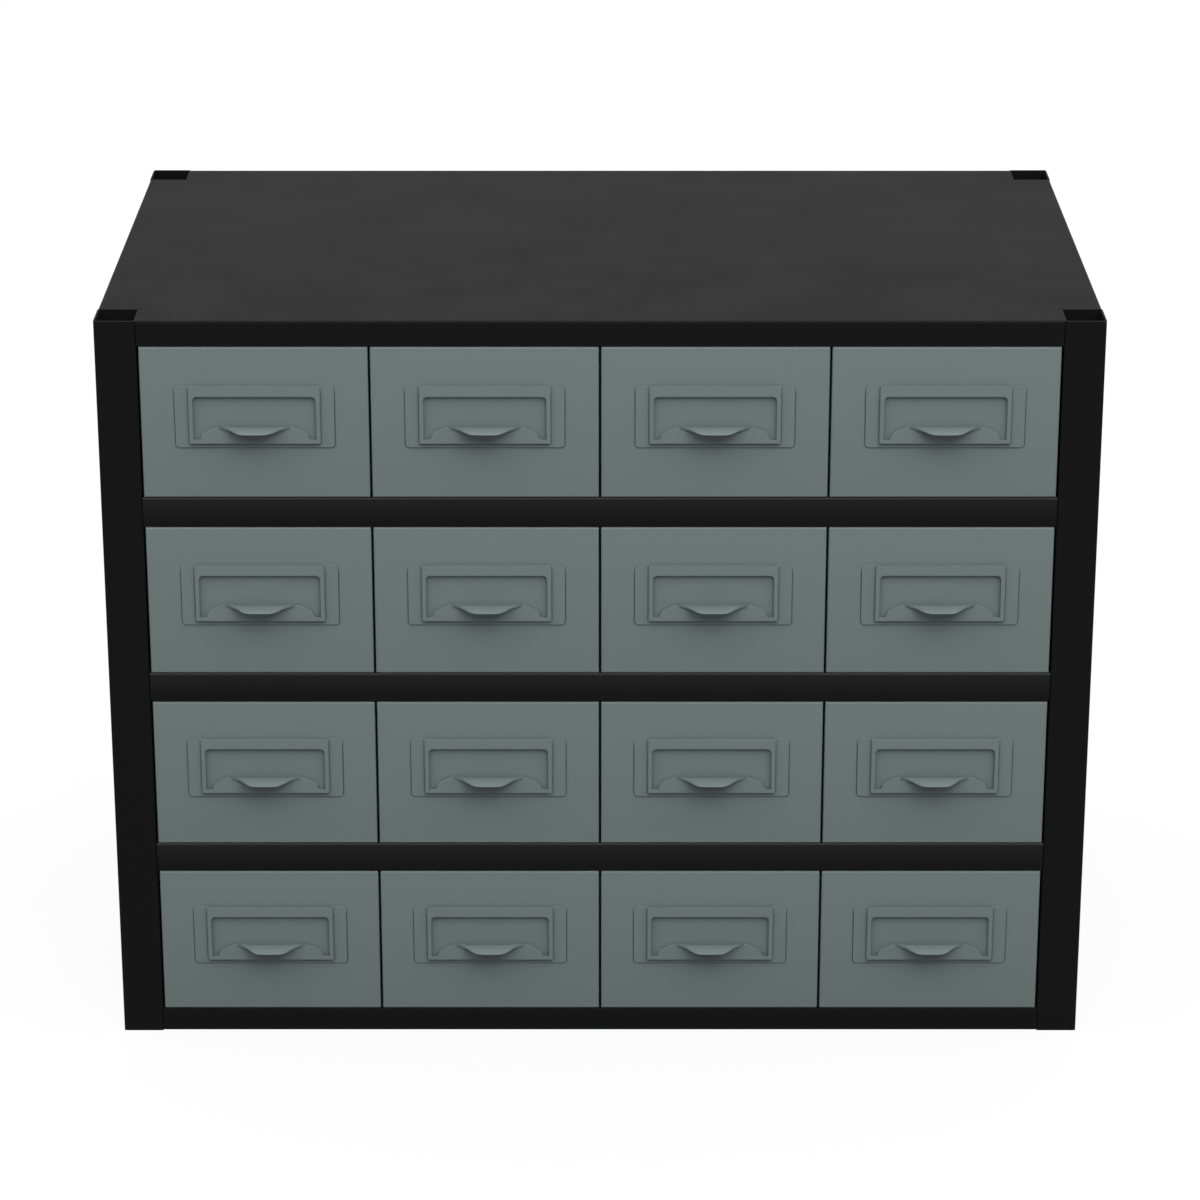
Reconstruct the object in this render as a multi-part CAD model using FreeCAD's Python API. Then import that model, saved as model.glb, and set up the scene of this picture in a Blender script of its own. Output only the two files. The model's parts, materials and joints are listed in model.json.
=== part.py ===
import FreeCAD, Part
import math
import os

# Parts bin cabinet: a welded sheet steel frame with rows and columns of drawers.
# X runs across the front, +Y goes to the back, +Z is up.
# The origin is the middle of the flat underside. All lengths are in millimetres.

# Overall cabinet
cabinet_width = 914.4
cabinet_depth = 540.0
rows = 4
columns = 4

# Front openings, from the top rail to the bottom rail
pan_flange = 23.25
opening_height = 145.1
rail_height = 27.7

# Sheet thickness of each kind of piece
post_sheet = 1.5
pan_sheet = 1.5
shelf_sheet = 1.2
panel_sheet = 1.0
guide_sheet = 1.0
drawer_sheet = 1.0
pull_sheet = 1.0

# Outer radius of each kind of bend
post_bend = 2.5
pan_bend = 2.5
shelf_bend = 2.2
panel_bend = 2.0
guide_bend = 2.0
drawer_bend = 1.8

# Corner posts
post_width = 38.1
post_depth = 40.0
post_seam = 0.6

# Top and bottom pans
corner_relief = 1.5

# Side and back panels
panel_lap = 15.0
panel_return = 12.0

# Shelves, with the pressed beads that the drawers slide on
shelf_edge = 18.0
bead_width = 12.0
bead_spacing = 130.0
bead_end = 22.0

# Partitions between drawers, and the low guides beside the outer drawers
partition_width = 10.0
guide_height = 40.0
guide_foot = 15.0
guide_rear_gap = 12.0

# Drawers; the front hangs a little lower than the tray's floor
front_return = 13.0
front_drop = 0.9
front_lip = 9.0
tray_height = 124.0
tray_hem = 9.0
tray_rear_gap = 17.0
weld_tab = 12.0
ear_length = 18.0
ear_rise = 7.0
ear_radius = 4.0
drawer_travel = 400.0

# Stamped card holder and finger pull on each drawer, heights from the underside of the tray
plate_width = 144.8
plate_base = 47.8
plate_height = 59.0
plate_base_radius = 3.5
plate_top_radius = 3.5
frame_width = 119.5
frame_bar = 3.8
frame_sill = 3.7
frame_top_bar = 9.7
frame_proud = 4.2
frame_ledge = 4.5
window_radius = 4.2
tongue_width = 98.4
tongue_shoulder_width = 94.6
tongue_crown_width = 60.0
tongue_shoulder = 6.4
tongue_rise = 12.4
tongue_fall_power = 1.5
tongue_points = 7
lip_width = 64.0
lip_reach = 23.0
lip_drop = 1.2
lip_waist_share = 0.63
lip_flare_power = 5.6
lip_station_shares = (0.0, 0.2, 0.34, 0.45, 0.54, 0.63, 0.72, 0.84, 1.0)
lip_arc_steps = 6

# Clearances
weld_gap = 0.3
front_gap = 2.0
side_gap = 1.7
top_gap = 0.8
bottom_gap = 1.2
slide_gap = 0.2
guide_gap = 0.6
nose_gap = 0.4
stop_gap = 0.3

# Cuts run past the metal by this much
overrun = 1.0

# Two coordinates closer than this are the same
same_place = 1e-6

# Places worked out from the sizes above
half_width = cabinet_width / 2
front_y = -cabinet_depth / 2
rear_y = cabinet_depth / 2
cabinet_height = 2 * pan_flange + rows * opening_height + (rows - 1) * rail_height
row_pitch = opening_height + rail_height

clear_width = cabinet_width - 2 * post_width
front_width = (clear_width - 2 * side_gap - (columns - 1) * front_gap) / columns
front_height = opening_height - top_gap - bottom_gap + front_drop
column_pitch = front_width + front_gap
tray_width = column_pitch - partition_width - 2 * guide_gap

panel_x = half_width - pan_sheet
panel_y = rear_y - pan_sheet
inside_x = panel_x - panel_sheet - weld_gap
inside_rear_y = panel_y - panel_sheet - weld_gap
tray_rear_y = inside_rear_y - tray_rear_gap
guide_rear_y = inside_rear_y - guide_rear_gap
nose_y = front_y + front_return + nose_gap
ear_y = front_y + pan_sheet + stop_gap + drawer_travel

bead_height = bottom_gap - slide_gap

frame_base = plate_base + frame_ledge
plate_top = plate_base + plate_height
window_base = frame_base + frame_sill
window_top = plate_top - frame_top_bar
window_width = frame_width - 2 * frame_bar

ROW_LETTERS = "abcdefghijklmnopqrstuvwxyz"


def block(x0, x1, y0, y1, z0, z1):
    """A plain block between two corners."""
    return Part.makeBox(x1 - x0, y1 - y0, z1 - z0, FreeCAD.Vector(x0, y0, z0))


def on_side(edge, box, side):
    """Whether an edge lies on one side of a box, with the side named such as -x or +z."""
    axis = "xyz".index(side[1])
    place = box[2 * axis + (side[0] == "+")]
    return all(abs(vertex.Point[axis] - place) < same_place for vertex in edge.Vertexes)


def round_edges(solid, box, radius, web, walls):
    """Rounds the edges that lie between one side of a box and some of the sides next to it."""
    edges = []
    for edge in solid.Edges:
        if on_side(edge, box, web) and any(on_side(edge, box, wall) for wall in walls):
            edges.append(edge)
    return solid.makeFillet(radius, edges)


def rounded(box, radius, web, walls):
    """A block whose edges between the web side and the wall sides are rounded."""
    return round_edges(block(*box), box, radius, web, walls)


def folded(box, sheet, bend, web, walls):
    """Folded sheet that fills a box: a flat web on one side, and walls turned up from it."""
    inner = list(box)
    for place in range(len(box)):
        low = place % 2 == 0
        side = ("-" if low else "+") + "xyz"[place // 2]
        inward = 1 if low else -1
        if side == web or side in walls:
            inner[place] += inward * sheet
        else:
            inner[place] -= inward * overrun
    outside = rounded(box, bend, web, walls)
    inside = rounded(inner, bend - sheet, web, walls)
    return outside.cut(inside)


def mirrored_x(solid):
    """The same piece on the other side of the cabinet."""
    return solid.mirror(FreeCAD.Vector(0, 0, 0), FreeCAD.Vector(1, 0, 0))


def mirrored_y(solid):
    """The same piece at the other end of the cabinet."""
    return solid.mirror(FreeCAD.Vector(0, 0, 0), FreeCAD.Vector(0, 1, 0))


def save(name, solid):
    """Writes one node."""
    solid.exportStep(f"parts/{name}.step")


def column_x(column):
    """Middle of a drawer column, counted from the left."""
    return (column - (columns - 1) / 2) * column_pitch


def opening_z(row):
    """Lower edge of a row's front opening, counted from the top row."""
    return pan_flange + (rows - 1 - row) * row_pitch


def deck_above_z(row):
    """Underside of the deck over a row."""
    if row == 0:
        return cabinet_height - pan_sheet
    return opening_z(row - 1) - shelf_sheet


def corner_post():
    """Front left post: a closed fold with its seam at the rear inner corner, open at both ends."""
    box = (-half_width, -half_width + post_width, front_y, front_y + post_depth, 0, cabinet_height)
    bore_box = (
        box[0] + post_sheet,
        box[1] - post_sheet,
        box[2] + post_sheet,
        box[3] - post_sheet,
        box[4] - overrun,
        box[5] + overrun,
    )
    outside = round_edges(rounded(box, post_bend, "-x", ("-y", "+y")), box, post_bend, "+x", ("-y",))
    inner_bend = post_bend - post_sheet
    bore = rounded(bore_box, inner_bend, "-x", ("-y", "+y"))
    bore = round_edges(bore, bore_box, inner_bend, "+x", ("-y",))
    seam = block(
        bore_box[1] - post_seam,
        bore_box[1],
        bore_box[3] - overrun,
        box[3] + overrun,
        bore_box[4],
        bore_box[5],
    )
    return outside.cut([bore, seam])


def corner_notches(front_x, front_deep, rear_x, rear_deep):
    """Four tall blocks that cut a deck's corners away around the posts."""
    edge = half_width + overrun
    low, high = -overrun, cabinet_height + overrun
    front = (front_y - overrun, front_y + front_deep, low, high)
    rear = (rear_y - rear_deep, rear_y + overrun, low, high)
    return [
        block(-edge, -half_width + front_x, *front),
        block(half_width - front_x, edge, *front),
        block(-edge, -half_width + rear_x, *rear),
        block(half_width - rear_x, edge, *rear),
    ]


def pan_notches():
    """Corners of the top and bottom pans, with a round bend relief in each inner corner."""
    across = post_width + weld_gap
    deep = post_depth + weld_gap
    cuts = corner_notches(across, deep, across, deep)
    for x in (-half_width + across, half_width - across):
        for y in (front_y + deep, rear_y - deep):
            cuts.append(Part.makeCylinder(corner_relief, cabinet_height, FreeCAD.Vector(x, y, 0)))
    return cuts


def deck_notches():
    """Corners of a deck inside the panels, clear of the posts and of the panels' returns."""
    across = post_width + weld_gap
    deep = post_depth + 2 * weld_gap + panel_sheet
    return corner_notches(across, deep, across + weld_gap + panel_sheet, deep)


def bottom_pan():
    """Flat floor of the cabinet with its edges turned up between the posts."""
    box = (-half_width, half_width, front_y, rear_y, 0, pan_flange)
    return folded(box, pan_sheet, pan_bend, "-z", ("-x", "+x", "-y", "+y")).cut(pan_notches())


def top_pan():
    """Flat top with its edges turned down between the posts."""
    box = (-half_width, half_width, front_y, rear_y, cabinet_height - pan_flange, cabinet_height)
    return folded(box, pan_sheet, pan_bend, "+z", ("-x", "+x", "-y", "+y")).cut(pan_notches())


def bead(x, y0, y1, z):
    """Low round bead along a deck."""
    left = FreeCAD.Vector(x - bead_width / 2, y0, z)
    crest = FreeCAD.Vector(x, y0, z + bead_height)
    right = FreeCAD.Vector(x + bead_width / 2, y0, z)
    outline = Part.Wire([Part.Arc(left, crest, right).toShape(), Part.LineSegment(right, left).toShape()])
    return Part.Face(outline).extrude(FreeCAD.Vector(0, y1 - y0, 0))


def beaded(deck, sheet, y0, z):
    """Presses two beads for each drawer into a deck whose top is at z."""
    y1 = tray_rear_y
    for column in range(columns):
        for side in (-1, 1):
            x = column_x(column) + side * bead_spacing / 2
            deck = deck.fuse(bead(x, y0, y1, z))
            deck = deck.cut(bead(x, y0 + sheet, y1 - sheet, z - sheet))
    return deck.removeSplitter()


def base_deck():
    """Raised floor under the lowest drawers, standing in the bottom pan."""
    box = (
        -inside_x,
        inside_x,
        front_y + pan_sheet + weld_gap,
        inside_rear_y,
        pan_sheet + weld_gap,
        pan_flange,
    )
    deck = folded(box, shelf_sheet, shelf_bend, "+z", ("-x", "+x", "-y", "+y")).cut(deck_notches())
    return beaded(deck, shelf_sheet, front_y + bead_end, pan_flange)


def shelf(row):
    """Deck under a row, with the rail turned down at its front and low edges on the other sides."""
    top = opening_z(row)
    box = (-inside_x, inside_x, front_y, inside_rear_y, top - rail_height, top)
    deck = folded(box, shelf_sheet, shelf_bend, "+z", ("-x", "+x", "-y", "+y")).cut(deck_notches())
    trim = block(
        -half_width,
        half_width,
        front_y + post_depth,
        rear_y,
        top - rail_height - overrun,
        top - shelf_edge,
    )
    return beaded(deck.cut(trim), shelf_sheet, front_y + bead_end, top)


def side_panel():
    """Left side between the posts, lapped behind the pans' edges, with a return along each post."""
    box = (
        -panel_x,
        -panel_x + panel_return,
        front_y + post_depth + weld_gap,
        rear_y - post_depth - weld_gap,
        pan_flange - panel_lap,
        cabinet_height - pan_flange + panel_lap,
    )
    return folded(box, panel_sheet, panel_bend, "-x", ("-y", "+y"))


def back_panel():
    """Back between the rear posts, lapped behind the pans' edges."""
    across = half_width - post_width - weld_gap
    box = (
        -across,
        across,
        panel_y - panel_return,
        panel_y,
        pan_flange - panel_lap,
        cabinet_height - pan_flange + panel_lap,
    )
    return folded(box, panel_sheet, panel_bend, "+y", ("-x", "+x"))


def partition(row, gap):
    """Folded wall between two drawers, with its closed nose towards the front."""
    x = (column_x(gap) + column_x(gap + 1)) / 2
    box = (
        x - partition_width / 2,
        x + partition_width / 2,
        nose_y,
        guide_rear_y,
        opening_z(row),
        deck_above_z(row),
    )
    return folded(box, guide_sheet, guide_bend, "-y", ("-x", "+x"))


def side_guide(row):
    """Low angle beside the left drawer of a row, with a nose at its front."""
    inner_x = column_x(0) - tray_width / 2 - guide_gap
    z = opening_z(row)
    box = (inner_x - guide_foot, inner_x, nose_y, guide_rear_y, z, z + guide_height)
    return folded(box, guide_sheet, guide_bend, "+x", ("-y", "-z")).cut(deck_notches())


def drawer_front(z):
    """Front of a drawer: a flat face whose four edges are turned back, with a lip under the top one."""
    half = front_width / 2
    low = z - front_drop
    top = low + front_height
    box = (-half, half, front_y, front_y + front_return, low, top)
    front = folded(box, drawer_sheet, drawer_bend, "-y", ("-x", "+x", "-z", "+z"))
    lip = block(
        -half + drawer_sheet,
        half - drawer_sheet,
        front_y + front_return - drawer_sheet,
        front_y + front_return,
        top - front_lip,
        top - drawer_sheet,
    )
    return front.fuse(lip)


def tray(z):
    """Floor, sides and back of a drawer, with hemmed upper edges and weld tabs behind the front."""
    half = tray_width / 2
    start_y = front_y + drawer_bend
    top = z + tray_height
    box = (-half, half, start_y, tray_rear_y, z, top)
    pieces = [folded(box, drawer_sheet, drawer_bend, "-z", ("-x", "+x", "+y"))]
    hem_low = top - tray_hem
    for side in (-1, 1):
        hem_x = sorted((side * (half - drawer_sheet), side * (half - 2 * drawer_sheet)))
        pieces.append(block(*hem_x, start_y, tray_rear_y - drawer_sheet, hem_low, top))
        tab_x = sorted((side * half, side * (half - weld_tab)))
        tab_y = front_y + drawer_sheet
        tab_low = z + drawer_bend
        pieces.append(block(*tab_x, tab_y, tab_y + drawer_sheet, tab_low, top - tray_hem))
    hem_y = tray_rear_y - drawer_sheet
    inner = half - drawer_sheet
    pieces.append(block(-inner, inner, hem_y - drawer_sheet, hem_y, hem_low, top))
    return pieces[0].fuse(pieces[1:])


def stop_ears(z):
    """Two ears of the tray sides that meet the rail at full travel and keep the drawer in."""
    half = tray_width / 2
    top = z - bottom_gap + opening_height + ear_rise
    ears = []
    for side in (-1, 1):
        x0, x1 = sorted((side * half, side * (half - drawer_sheet)))
        box = (x0, x1, ear_y, ear_y + ear_length, z + tray_height - tray_hem, top)
        ears.append(rounded(box, ear_radius, "+z", ("-y", "+y")))
    return ears


def drawer(row, column):
    """One drawer: the folded front and tray, which are a single piece of sheet."""
    z = opening_z(row) + bottom_gap
    body = drawer_front(z).fuse([tray(z)] + stop_ears(z)).removeSplitter()
    return body.translated(FreeCAD.Vector(column_x(column), 0, 0))


def arch_height(x):
    """Height of the tongue's top above the window's lower edge: level, then falling to a shoulder."""
    crown = tongue_crown_width / 2
    fall_width = tongue_shoulder_width / 2 - crown
    share = max(0.0, abs(x) - crown) / fall_width
    return tongue_rise - (tongue_rise - tongue_shoulder) * share**tongue_fall_power


def crown_edge(side, y, z):
    """Curve of the tongue's top from its level middle down to one shoulder."""
    crown = tongue_crown_width / 2
    fall_width = tongue_shoulder_width / 2 - crown
    places = [crown + fall_width * step / (tongue_points - 1) for step in range(tongue_points)]
    curve = Part.BSplineCurve()
    curve.interpolate([FreeCAD.Vector(side * x, y, z + arch_height(x)) for x in places])
    return curve.toShape()


def tongue(y0, y1, z):
    """Tongue that stands in the window: slanted sides, shoulders and a level crown."""
    foot = tongue_width / 2
    shoulder = tongue_shoulder_width / 2
    crown = tongue_crown_width / 2
    path = [
        FreeCAD.Vector(-shoulder, y0, z + tongue_shoulder),
        FreeCAD.Vector(-foot, y0, z),
        FreeCAD.Vector(-foot, y0, z - overrun),
        FreeCAD.Vector(foot, y0, z - overrun),
        FreeCAD.Vector(foot, y0, z),
        FreeCAD.Vector(shoulder, y0, z + tongue_shoulder),
    ]
    edges = [Part.LineSegment(start, end).toShape() for start, end in zip(path, path[1:])]
    crown_left = FreeCAD.Vector(-crown, y0, z + tongue_rise)
    crown_right = FreeCAD.Vector(crown, y0, z + tongue_rise)
    edges += [crown_edge(1, y0, z), Part.LineSegment(crown_right, crown_left).toShape()]
    edges.append(crown_edge(-1, y0, z))
    return Part.Face(Part.Wire(edges)).extrude(FreeCAD.Vector(0, y1 - y0, 0))


def lip_share(u):
    """Reach of the lip at a share of its half width: a bell with a flat middle and thin tips."""
    bell = 1 / (1 + (u / lip_waist_share) ** lip_flare_power)
    tip = 1 / (1 + (1 / lip_waist_share) ** lip_flare_power)
    return bell - tip * u**2


def lip_section(x, z):
    """Section of the lip at x: it leaves the tongue's top downwards and flares out level."""
    share = lip_share(abs(x) / (lip_width / 2))
    reach = pull_sheet + (lip_reach - frame_proud) * share
    drop = lip_drop * share
    root_y = front_y - frame_proud + pull_sheet
    root_z = z + arch_height(x)
    upper, lower = [], []
    for step in range(lip_arc_steps + 1):
        turn = step / lip_arc_steps * math.pi / 2
        y = root_y - reach * (1 - math.cos(turn))
        height = root_z - drop * math.sin(turn)
        upper.append(FreeCAD.Vector(x, y, height))
        lower.append(FreeCAD.Vector(x, y, height - pull_sheet))
    return Part.makePolygon(upper + lower[::-1] + upper[:1])


def finger_lip(z):
    """Flared lip along the top of the tongue."""
    half = lip_width / 2
    places = sorted({side * share * half for share in lip_station_shares for side in (-1, 1)})
    return Part.makeLoft([lip_section(x, z) for x in places], True, True)


def pull(row, column):
    """Card holder and pull, stamped from one sheet: plate, raised frame, window, tongue and lip."""
    z = opening_z(row) + bottom_gap
    top = z + plate_top
    plate_box = (-plate_width / 2, plate_width / 2, front_y - pull_sheet, front_y, z + plate_base, top)
    plate = rounded(plate_box, plate_base_radius, "-z", ("-x", "+x"))
    plate = round_edges(plate, plate_box, plate_top_radius, "+z", ("-x", "+x"))
    half = frame_width / 2
    face_y = front_y - frame_proud
    raised = block(-half, half, face_y, front_y, z + frame_base, top)
    hollow = block(
        -half + pull_sheet,
        half - pull_sheet,
        face_y + pull_sheet,
        front_y + overrun,
        z + frame_base + pull_sheet,
        top + overrun,
    )
    window_box = (
        -window_width / 2,
        window_width / 2,
        face_y - overrun,
        face_y + pull_sheet + overrun,
        z + window_base,
        z + window_top,
    )
    window = rounded(window_box, window_radius, "+z", ("-x", "+x"))
    sill = z + window_base
    body = plate.fuse(raised).cut([hollow, window])
    body = body.fuse([tongue(face_y, face_y + pull_sheet, sill), finger_lip(sill)]).removeSplitter()
    return body.translated(FreeCAD.Vector(column_x(column), 0, 0))


def build_frame():
    """Everything that stays still."""
    save("bottom_pan", bottom_pan())
    save("top_pan", top_pan())
    save("base_deck", base_deck())
    for row in range(rows - 1):
        save(f"shelf_{ROW_LETTERS[row]}", shelf(row))
    front_left = corner_post()
    save("post_front_left", front_left)
    save("post_front_right", mirrored_x(front_left))
    save("post_rear_left", mirrored_y(front_left))
    save("post_rear_right", mirrored_x(mirrored_y(front_left)))
    left_panel = side_panel()
    save("side_panel_left", left_panel)
    save("side_panel_right", mirrored_x(left_panel))
    save("back_panel", back_panel())
    for row in range(rows):
        for gap in range(columns - 1):
            save(f"partition_{ROW_LETTERS[row]}{gap + 1}", partition(row, gap))
    guides = [side_guide(row) for row in range(rows)]
    save("side_guides_left", Part.makeCompound(guides))
    save("side_guides_right", Part.makeCompound([mirrored_x(guide) for guide in guides]))


def build_drawers():
    """Everything that slides."""
    for row in range(rows):
        for column in range(columns):
            name = f"drawer_{ROW_LETTERS[row]}{column + 1}"
            save(name, drawer(row, column))
            save(f"{name}_pull", pull(row, column))


os.makedirs("parts", exist_ok=True)
build_frame()
build_drawers()
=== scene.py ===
# %% [markdown]
# A steel parts bin cabinet
#
# The object is a welded black frame with sixteen blue-grey drawers. Each drawer wears a stamped
# card holder whose tongue flares out into a finger lip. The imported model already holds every
# piece at its real size, so this lesson only dresses it: some pieces keep their mesh and get
# a better paint, and the drawers and their pulls are modelled again with finer bends.

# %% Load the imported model
import json
import math
import bmesh
import bpy
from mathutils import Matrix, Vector

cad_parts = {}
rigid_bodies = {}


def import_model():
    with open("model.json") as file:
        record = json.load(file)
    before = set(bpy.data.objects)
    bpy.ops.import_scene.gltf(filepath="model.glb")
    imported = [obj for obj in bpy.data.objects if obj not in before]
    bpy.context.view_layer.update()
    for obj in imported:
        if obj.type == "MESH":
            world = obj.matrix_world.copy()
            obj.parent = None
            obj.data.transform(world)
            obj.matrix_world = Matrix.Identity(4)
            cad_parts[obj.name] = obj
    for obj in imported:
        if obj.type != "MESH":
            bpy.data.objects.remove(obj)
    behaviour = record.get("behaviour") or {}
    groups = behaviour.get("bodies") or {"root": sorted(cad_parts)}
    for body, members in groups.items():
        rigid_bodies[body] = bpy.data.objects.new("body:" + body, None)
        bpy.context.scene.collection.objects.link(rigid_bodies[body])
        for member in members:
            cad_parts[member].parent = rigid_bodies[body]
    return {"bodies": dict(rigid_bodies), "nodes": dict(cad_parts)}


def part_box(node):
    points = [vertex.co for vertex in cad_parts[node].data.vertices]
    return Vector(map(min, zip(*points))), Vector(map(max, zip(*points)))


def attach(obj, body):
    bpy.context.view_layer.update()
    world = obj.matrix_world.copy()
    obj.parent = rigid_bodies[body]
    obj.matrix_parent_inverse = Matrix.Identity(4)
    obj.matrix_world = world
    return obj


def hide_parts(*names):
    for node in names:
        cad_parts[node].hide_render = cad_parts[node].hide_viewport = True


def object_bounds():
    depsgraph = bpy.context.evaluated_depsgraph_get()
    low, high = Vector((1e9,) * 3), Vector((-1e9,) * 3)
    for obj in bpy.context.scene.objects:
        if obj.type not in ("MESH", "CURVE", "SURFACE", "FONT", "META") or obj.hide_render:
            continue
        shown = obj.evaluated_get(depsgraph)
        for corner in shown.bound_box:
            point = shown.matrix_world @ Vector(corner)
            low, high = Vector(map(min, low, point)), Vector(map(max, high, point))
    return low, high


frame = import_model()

scene = bpy.context.scene
cad_box = [list(corner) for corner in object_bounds()]
print("model box in metres:", cad_box)

# %% [markdown]
# Sizes are written in millimetres, as on a drawing, because sheet metal is. Blender's unit is
# the metre, so one value turns the first into the second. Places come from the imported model.

# %% Units and the main places
MM = 0.001

post_low, post_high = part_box("post_front_left")
front_y = post_low.y
cabinet_top = post_high.z
cabinet_middle = Vector((0, (cad_box[0][1] + cad_box[1][1]) / 2, cabinet_top / 2))
print("front plane at y =", round(front_y, 4), "and top at z =", round(cabinet_top, 4))

# %% [markdown]
# The camera stands well back with a long lens, a little above the cabinet, and looks down. A long
# lens keeps the sides nearly parallel, but not quite: the bottom is still narrower than the top.
# The distance, height and tilt were solved from the edges of the cabinet in the picture.

# %% Camera
CAMERA_DISTANCE = 3.5266
CAMERA_HEIGHT = 1.765
CAMERA_TILT = math.radians(20.382)
PICTURE_PIXELS = 1200
FOCAL_PIXELS = 4076.6
AXIS_ROW = 587
SENSOR_WIDTH = 36.0

camera_data = bpy.data.cameras.new("camera")
camera_data.sensor_width = SENSOR_WIDTH
camera_data.lens = SENSOR_WIDTH * FOCAL_PIXELS / PICTURE_PIXELS
camera_data.shift_y = (AXIS_ROW - PICTURE_PIXELS / 2) / PICTURE_PIXELS
camera = bpy.data.objects.new("camera", camera_data)
camera.location = (0, front_y - CAMERA_DISTANCE, CAMERA_HEIGHT)
camera.rotation_euler = (math.pi / 2 - CAMERA_TILT, 0, 0)
scene.collection.objects.link(camera)
scene.camera = camera
print("lens", round(camera_data.lens, 1), "mm, shift", round(camera_data.shift_y, 4))

# %% [markdown]
# Shader nodes are easier to read when each one is made in a single line. These helpers make a
# node, fill in its properties and inputs, and join any input that is given another node's output.

# %% Helpers that make shader nodes
def node(tree, kind, properties=None, **inputs):
    made = tree.nodes.new(kind)
    for name, value in (properties or {}).items():
        setattr(made, name, value)
    for name, value in inputs.items():
        plain = name.replace("_", " ")
        socket = made.inputs[int(plain[2:])] if plain.startswith("at") else made.inputs[plain]
        if isinstance(value, bpy.types.NodeSocket):
            tree.links.new(value, socket)
        else:
            socket.default_value = value
    return made


def maths(tree, operation, *values, clamp=False):
    made = tree.nodes.new("ShaderNodeMath")
    made.operation = operation
    made.use_clamp = clamp
    for socket, value in zip(made.inputs, values):
        if isinstance(value, bpy.types.NodeSocket):
            tree.links.new(value, socket)
        else:
            socket.default_value = value
    return made.outputs[0]


def mixed(tree, mask, first, second):
    return node(tree, "ShaderNodeMix", {"data_type": "RGBA"}, Factor=mask, at6=first, at7=second).outputs[2]


def background_rays(tree):
    """1 where the floor or the surround is looked at, also by reflection, and 0 where it lights."""
    rays = node(tree, "ShaderNodeLightPath").outputs
    seen = maths(tree, "MAXIMUM", rays["Is Camera Ray"], rays["Is Glossy Ray"])
    return maths(tree, "MAXIMUM", seen, rays["Is Transmission Ray"])

# %% [markdown]
# The floor is a plain pale sheet. Seen by the camera, or in a reflection, it glows a little, so
# that it is nearly white and the cabinet's soft shadow still shows on it. For the light that
# bounces back up it is a dark grey, because a white floor would light the lowest drawers and
# the undersides of the lips as brightly as the tops.

# %% Floor
FLOOR_REACH = 30.0
FLOOR_SEEN = (0.045, 0.045, 0.045, 1.0)
FLOOR_BOUNCE = (0.08, 0.08, 0.08, 1.0)
FLOOR_GLOW = 0.91

floor_mesh = bpy.data.meshes.new("floor")
corners = [(x * FLOOR_REACH, y * FLOOR_REACH, 0) for x, y in ((-1, -1), (1, -1), (1, 1), (-1, 1))]
floor_mesh.from_pydata(corners, [], [(0, 1, 2, 3)])
floor = bpy.data.objects.new("floor", floor_mesh)
scene.collection.objects.link(floor)

floor_paint = bpy.data.materials.new("pale_floor")
floor_paint.use_nodes = True
tree = floor_paint.node_tree
tree.nodes.clear()
seen = background_rays(tree)
diffuse = node(tree, "ShaderNodeBsdfDiffuse", Color=mixed(tree, seen, FLOOR_BOUNCE, FLOOR_SEEN))
glow = node(tree, "ShaderNodeEmission", Strength=maths(tree, "MULTIPLY", seen, FLOOR_GLOW))
both = node(tree, "ShaderNodeAddShader", at0=diffuse.outputs[0], at1=glow.outputs[0])
node(tree, "ShaderNodeOutputMaterial", Surface=both.outputs[0])
floor_mesh.materials.append(floor_paint)
print("floor is", 2 * FLOOR_REACH, "m wide")

# %% [markdown]
# The light is a plain studio with a bright band all round, halfway up the walls. It is dimmer at
# the horizon and overhead. How far the shadow under each lip fades downwards in the picture tells
# at which heights the light stands. The surround is white wherever it is looked at. One soft
# lamp to the right adds a little direction. Together they light a front at about strength 1,
# at which a colour looks as it is written.

# %% Lights
HORIZON_LIGHT = 0.45
BAND_LIGHT = 3.3
ZENITH_LIGHT = 0.5
BAND_FOOT = [math.sin(math.radians(angle)) for angle in (26, 38)]
BAND_HEAD = [math.sin(math.radians(angle)) for angle in (70, 85)]
LAMP_BEARING = math.radians(20)
LAMP_HEIGHT = math.radians(40)
LAMP_DISTANCE = 5.0
LAMP_SIZE = 2.0
LAMP_POWER = 60.0

world = bpy.data.worlds.new("surround")
world.use_nodes = True
tree = world.node_tree
towards = node(tree, "ShaderNodeTexCoord").outputs["Generated"]
height = node(tree, "ShaderNodeSeparateXYZ", Vector=towards).outputs["Z"]
smooth = {"interpolation_type": "SMOOTHSTEP"}
rise = node(
    tree, "ShaderNodeMapRange", smooth, Value=height,
    From_Min=BAND_FOOT[0], From_Max=BAND_FOOT[1], To_Min=HORIZON_LIGHT, To_Max=BAND_LIGHT,
)
fall = node(
    tree, "ShaderNodeMapRange", smooth, Value=height,
    From_Min=BAND_HEAD[0], From_Max=BAND_HEAD[1], To_Max=BAND_LIGHT - ZENITH_LIGHT,
)
band = maths(tree, "SUBTRACT", rise.outputs[0], fall.outputs[0])
seen = background_rays(tree)
lit = maths(tree, "MULTIPLY", band, maths(tree, "SUBTRACT", 1.0, seen))
surround = tree.nodes["Background"]
surround.inputs["Color"].default_value = (1, 1, 1, 1)
tree.links.new(maths(tree, "ADD", lit, seen), surround.inputs["Strength"])
scene.world = world

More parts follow.
